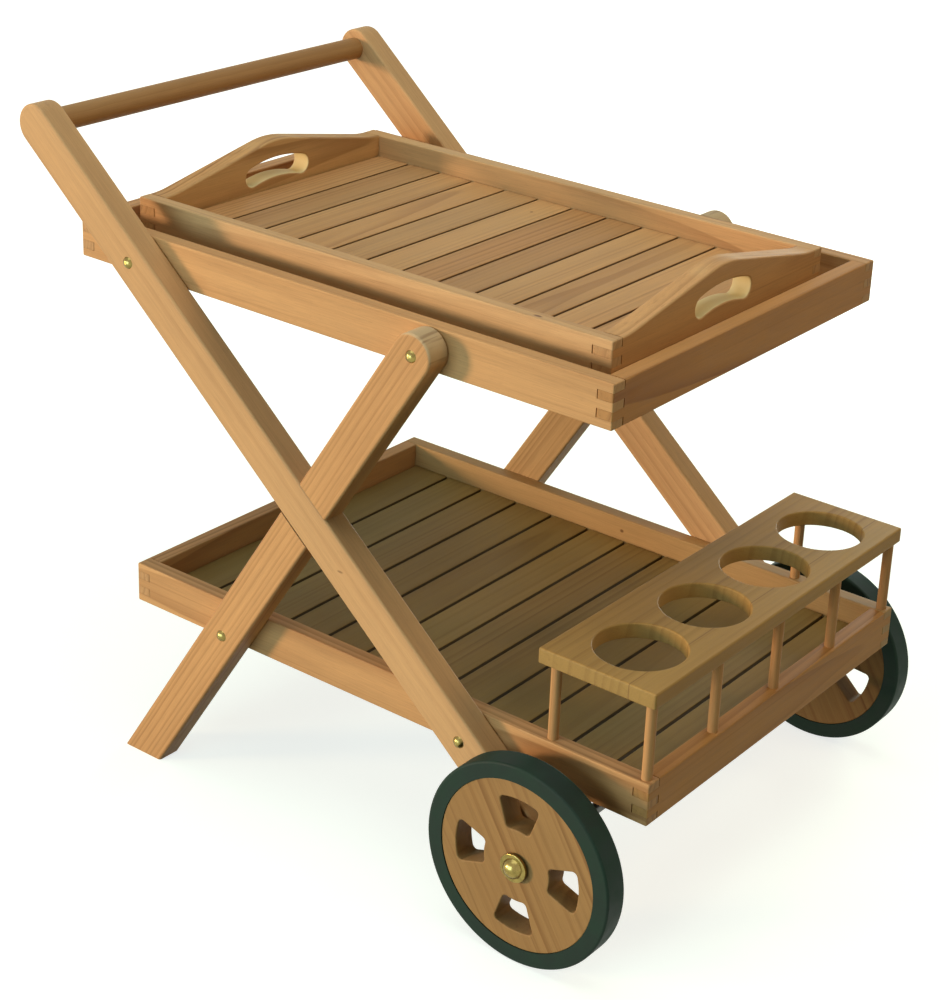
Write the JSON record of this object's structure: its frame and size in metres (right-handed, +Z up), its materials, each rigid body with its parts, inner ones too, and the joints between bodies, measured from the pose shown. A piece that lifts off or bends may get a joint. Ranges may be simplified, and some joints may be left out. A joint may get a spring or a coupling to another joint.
{
  "type": "serving trolley",
  "caption": "Wooden serving trolley with crossed legs, a lift-off slatted tray with hand holes, a slatted lower shelf with a bottle rack, a round push handle and rubber-tyred wheels.",
  "frame": {"origin": "On the floor, in the middle of the overall length and of the width over the hub caps.", "axes": "+X from the handle end to the wheel end, +Y to the left of the person pushing, +Z up."},
  "size_m": [0.826, 0.6256, 0.726],
  "materials": {
    "frame_wood": "oiled, satin",
    "slat_wood": "oiled, satin",
    "inner_wood": "planed, oiled",
    "tyre": "matt dark green rubber",
    "brass": "polished",
    "steel": "plated",
    "bush": "moulded"
  },
  "bodies": {
    "frame": {"axle_washers": "steel", "back_tray_bearer": "inner_wood", "bottle_rack_board": "frame_wood", "bottle_rack_posts": "frame_wood", "front_tray_bearer": "inner_wood", "handle_bar": "frame_wood", "hub_caps": "brass", "left_foot_leg": "frame_wood", "left_handle_leg": "frame_wood", "leg_bolts": "brass", "right_foot_leg": "frame_wood", "right_handle_leg": "frame_wood", "shelf_back_rail": "frame_wood", "shelf_front_rail": "frame_wood", "shelf_left_batten": "inner_wood", "shelf_left_rail": "frame_wood", "shelf_right_batten": "inner_wood", "shelf_right_rail": "frame_wood", "shelf_slat_01": "slat_wood", "shelf_slat_02": "slat_wood", "shelf_slat_03": "slat_wood", "shelf_slat_04": "slat_wood", "shelf_slat_05": "slat_wood", "shelf_slat_06": "slat_wood", "shelf_slat_07": "slat_wood", "shelf_slat_08": "slat_wood", "shelf_slat_09": "slat_wood", "shelf_slat_10": "slat_wood", "shelf_slat_11": "slat_wood", "shelf_slat_12": "slat_wood", "threaded_inserts": "brass", "top_back_rail": "frame_wood", "top_front_rail": "frame_wood", "top_left_rail": "frame_wood", "top_right_rail": "frame_wood", "wheel_axle": "steel"},
    "right_wheel": {"right_wheel_disc": "frame_wood", "right_tyre": "tyre", "right_hub_bush": "bush"},
    "left_wheel": {"left_wheel_disc": "frame_wood", "left_tyre": "tyre", "left_hub_bush": "bush"},
    "tray": {"tray_back_end": "frame_wood", "tray_front_end": "frame_wood", "tray_left_batten": "inner_wood", "tray_left_rail": "frame_wood", "tray_right_batten": "inner_wood", "tray_right_rail": "frame_wood", "tray_slat_01": "slat_wood", "tray_slat_02": "slat_wood", "tray_slat_03": "slat_wood", "tray_slat_04": "slat_wood", "tray_slat_05": "slat_wood", "tray_slat_06": "slat_wood", "tray_slat_07": "slat_wood", "tray_slat_08": "slat_wood", "tray_slat_09": "slat_wood", "tray_slat_10": "slat_wood", "tray_slat_11": "slat_wood", "tray_slat_12": "slat_wood"}
  },
  "joints": [
    {"name": "right_wheel_spin", "type": "hinge", "parent": "frame", "child": "right_wheel", "pos_m": [0.303, -0.286, 0.11], "axis": [0, 1, 0], "continuous": true},
    {"name": "left_wheel_spin", "type": "hinge", "parent": "frame", "child": "left_wheel", "pos_m": [0.303, 0.286, 0.11], "axis": [0, 1, 0], "continuous": true},
    {"name": "tray_lift", "type": "slide", "parent": "frame", "child": "tray", "axis": [0, 0, 1], "range_m": [0, 0.25]}
  ]
}
